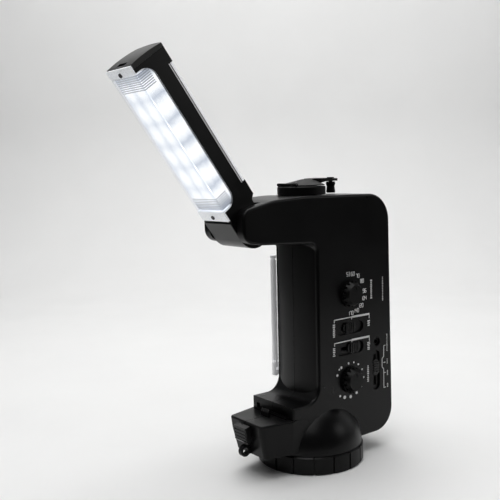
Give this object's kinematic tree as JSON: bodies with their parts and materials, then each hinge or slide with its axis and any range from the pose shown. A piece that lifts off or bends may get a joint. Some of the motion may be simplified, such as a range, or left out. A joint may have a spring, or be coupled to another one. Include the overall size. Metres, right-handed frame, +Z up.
{
  "type": "emergency radio",
  "caption": "Hand-crank emergency radio with a folding lamp handle, torch foot, telescopic antenna, tuning and volume knobs and slide switches.",
  "frame": {"origin": "centre of the torch bezel front face, on the ground", "axes": "+Z up along the torch axis, -X towards the lamp handle, -Y towards the control panel"},
  "size_m": [0.2191, 0.08, 0.2985],
  "materials": {
    "body_black": "fine satin moulded grain",
    "cap_grey": "satin",
    "bezel_black": "satin, grooved",
    "trim_black": "satin",
    "knob_black": "fine knurl",
    "seal_rubber": "matte",
    "screw_steel": "plated",
    "clear_lens": "clear",
    "reflector_silver": "metallised",
    "led_white": "diffuse epoxy",
    "board_green": "solder mask",
    "component_black": "moulded",
    "solar_blue": "laminated cells",
    "chrome": "polished",
    "ferrite_grey": "sintered",
    "copper_coil": "enamelled wire",
    "cell_wrap": "shrink sleeve",
    "gear_white": "moulded nylon",
    "gear_brass": "cut",
    "motor_steel": "zinc plated",
    "cone_paper": "pressed paper"
  },
  "bodies": {
    "radio_body": {"band_switch_body": "component_black", "battery_cells": "cell_wrap", "battery_contacts": "screw_steel", "battery_door": "body_black", "battery_door_screws": "screw_steel", "battery_tray": "component_black", "board_components": "component_black", "charging_socket": "component_black", "control_side_shell": "body_black", "dynamo_stator": "motor_steel", "earphone_socket": "component_black", "ferrite_coil": "copper_coil", "ferrite_rod": "ferrite_grey", "handle_hinge_pin": "screw_steel", "lamp_switch_body": "component_black", "latch_spring": "screw_steel", "main_circuit_board": "board_green", "mode_switch_body": "component_black", "plain_side_shell": "body_black", "shell_screws": "screw_steel", "speaker_basket": "motor_steel", "speaker_cone": "cone_paper", "strap_eyelet": "body_black", "torch_bezel_ring": "bezel_black", "torch_led": "led_white", "torch_led_board": "board_green", "torch_lens": "clear_lens", "torch_reflector": "reflector_silver", "tuning_capacitor": "component_black", "volume_control": "component_black"},
    "handle": {"handle_housing": "body_black", "handle_end_cap": "cap_grey", "handle_screws": "screw_steel", "lamp_cover": "clear_lens", "lamp_reflector": "reflector_silver", "lamp_led_board": "board_green", "lamp_leds": "led_white", "strip_cover": "clear_lens", "solar_panel": "solar_blue"},
    "latch": {"latch_slider": "trim_black"},
    "crank": {"crank_hub": "trim_black", "crank_gear": "gear_white", "crank_fold_pin": "screw_steel"},
    "crank_lever": {"crank_arm": "trim_black", "crank_knob_pin": "screw_steel"},
    "crank_grip": {"crank_knob": "trim_black"},
    "dynamo_shaft": {"dynamo_rotor": "motor_steel", "dynamo_pinion": "gear_brass"},
    "tuning": {"tuning_knob": "knob_black"},
    "volume": {"volume_knob": "knob_black"},
    "band_slider": {"band_switch_slider": "trim_black"},
    "lamp_slider": {"lamp_switch_slider": "trim_black"},
    "mode_slider": {"mode_switch_slider": "trim_black"},
    "antenna_base": {"antenna_swivel": "chrome", "antenna_pivot_pin": "chrome"},
    "antenna_outer": {"antenna_mast": "chrome"},
    "antenna_second": {"antenna_section_middle": "chrome"},
    "antenna_third": {"antenna_section_upper": "chrome"},
    "antenna_end": {"antenna_tip": "chrome"},
    "port_flap": {"port_cover": "seal_rubber"}
  },
  "joints": [
    {"name": "handle_hinge", "type": "hinge", "parent": "radio_body", "child": "handle", "pos_m": [-0.0617, 0, 0.1796], "axis": [0, -1, 0], "range_deg": [0, 148]},
    {"name": "latch_slide", "type": "slide", "parent": "radio_body", "child": "latch", "axis": [0, 0, -1], "range_m": [0, 0.0024], "stiffness_N_per_m": 400, "deforming": ["latch_spring"]},
    {"name": "crank_spin", "type": "hinge", "parent": "radio_body", "child": "crank", "pos_m": [-0.005, 0, 0.2], "axis": [0, 0, 1], "continuous": true},
    {"name": "dynamo_spin", "type": "hinge", "parent": "radio_body", "child": "dynamo_shaft", "pos_m": [0.019, 0, 0.175], "axis": [0, 0, 1], "continuous": true},
    {"name": "crank_fold", "type": "hinge", "parent": "crank", "child": "crank_lever", "pos_m": [-0.0185, 0, 0.2076], "axis": [0, -1, 0], "range_deg": [0, 165]},
    {"name": "crank_grip_spin", "type": "hinge", "parent": "crank_lever", "child": "crank_grip", "pos_m": [0.0246, 0, 0.205], "axis": [0, 0, 1], "continuous": true},
    {"name": "tuning_turn", "type": "hinge", "parent": "radio_body", "child": "tuning", "pos_m": [0.0206, -0.0236, 0.126], "axis": [0, -1, 0], "range_deg": [-135, 135]},
    {"name": "volume_turn", "type": "hinge", "parent": "radio_body", "child": "volume", "pos_m": [0.0206, -0.0236, 0.0606], "axis": [0, -1, 0], "range_deg": [-135, 135]},
    {"name": "band_switch_slide", "type": "slide", "parent": "radio_body", "child": "band_slider", "axis": [1, 0, 0], "range_m": [-0.0055, 0.0055]},
    {"name": "lamp_switch_slide", "type": "slide", "parent": "radio_body", "child": "lamp_slider", "axis": [1, 0, 0], "range_m": [-0.01, 0.001]},
    {"name": "mode_switch_slide", "type": "slide", "parent": "radio_body", "child": "mode_slider", "axis": [0, 0, -1], "range_m": [-0.0066, 0.0106]},
    {"name": "antenna_swing", "type": "hinge", "parent": "radio_body", "child": "antenna_base", "pos_m": [-0.007, 0.0236, 0.064], "axis": [0, -1, 0], "range_deg": [-90, 90]},
    {"name": "antenna_tilt", "type": "hinge", "parent": "antenna_base", "child": "antenna_outer", "pos_m": [-0.0114, 0.0267, 0.0676], "axis": [-1, 0, 0], "range_deg": [0, 90]},
    {"name": "antenna_slide_1", "type": "slide", "parent": "antenna_outer", "child": "antenna_second", "axis": [0, 0, 1], "range_m": [0, 0.068]},
    {"name": "antenna_slide_2", "type": "slide", "parent": "antenna_second", "child": "antenna_third", "axis": [0, 0, 1], "range_m": [0, 0.068]},
    {"name": "antenna_slide_3", "type": "slide", "parent": "antenna_third", "child": "antenna_end", "axis": [0, 0, 1], "range_m": [0, 0.068]},
    {"name": "port_flap_hinge", "type": "hinge", "parent": "radio_body", "child": "port_flap", "pos_m": [0.06575, 0, 0.08535], "axis": [0, 1, 0], "range_deg": [0, 100]}
  ],
  "couplings": [
    {"joint": "dynamo_spin", "follows": "crank_spin", "ratio": -4}
  ]
}
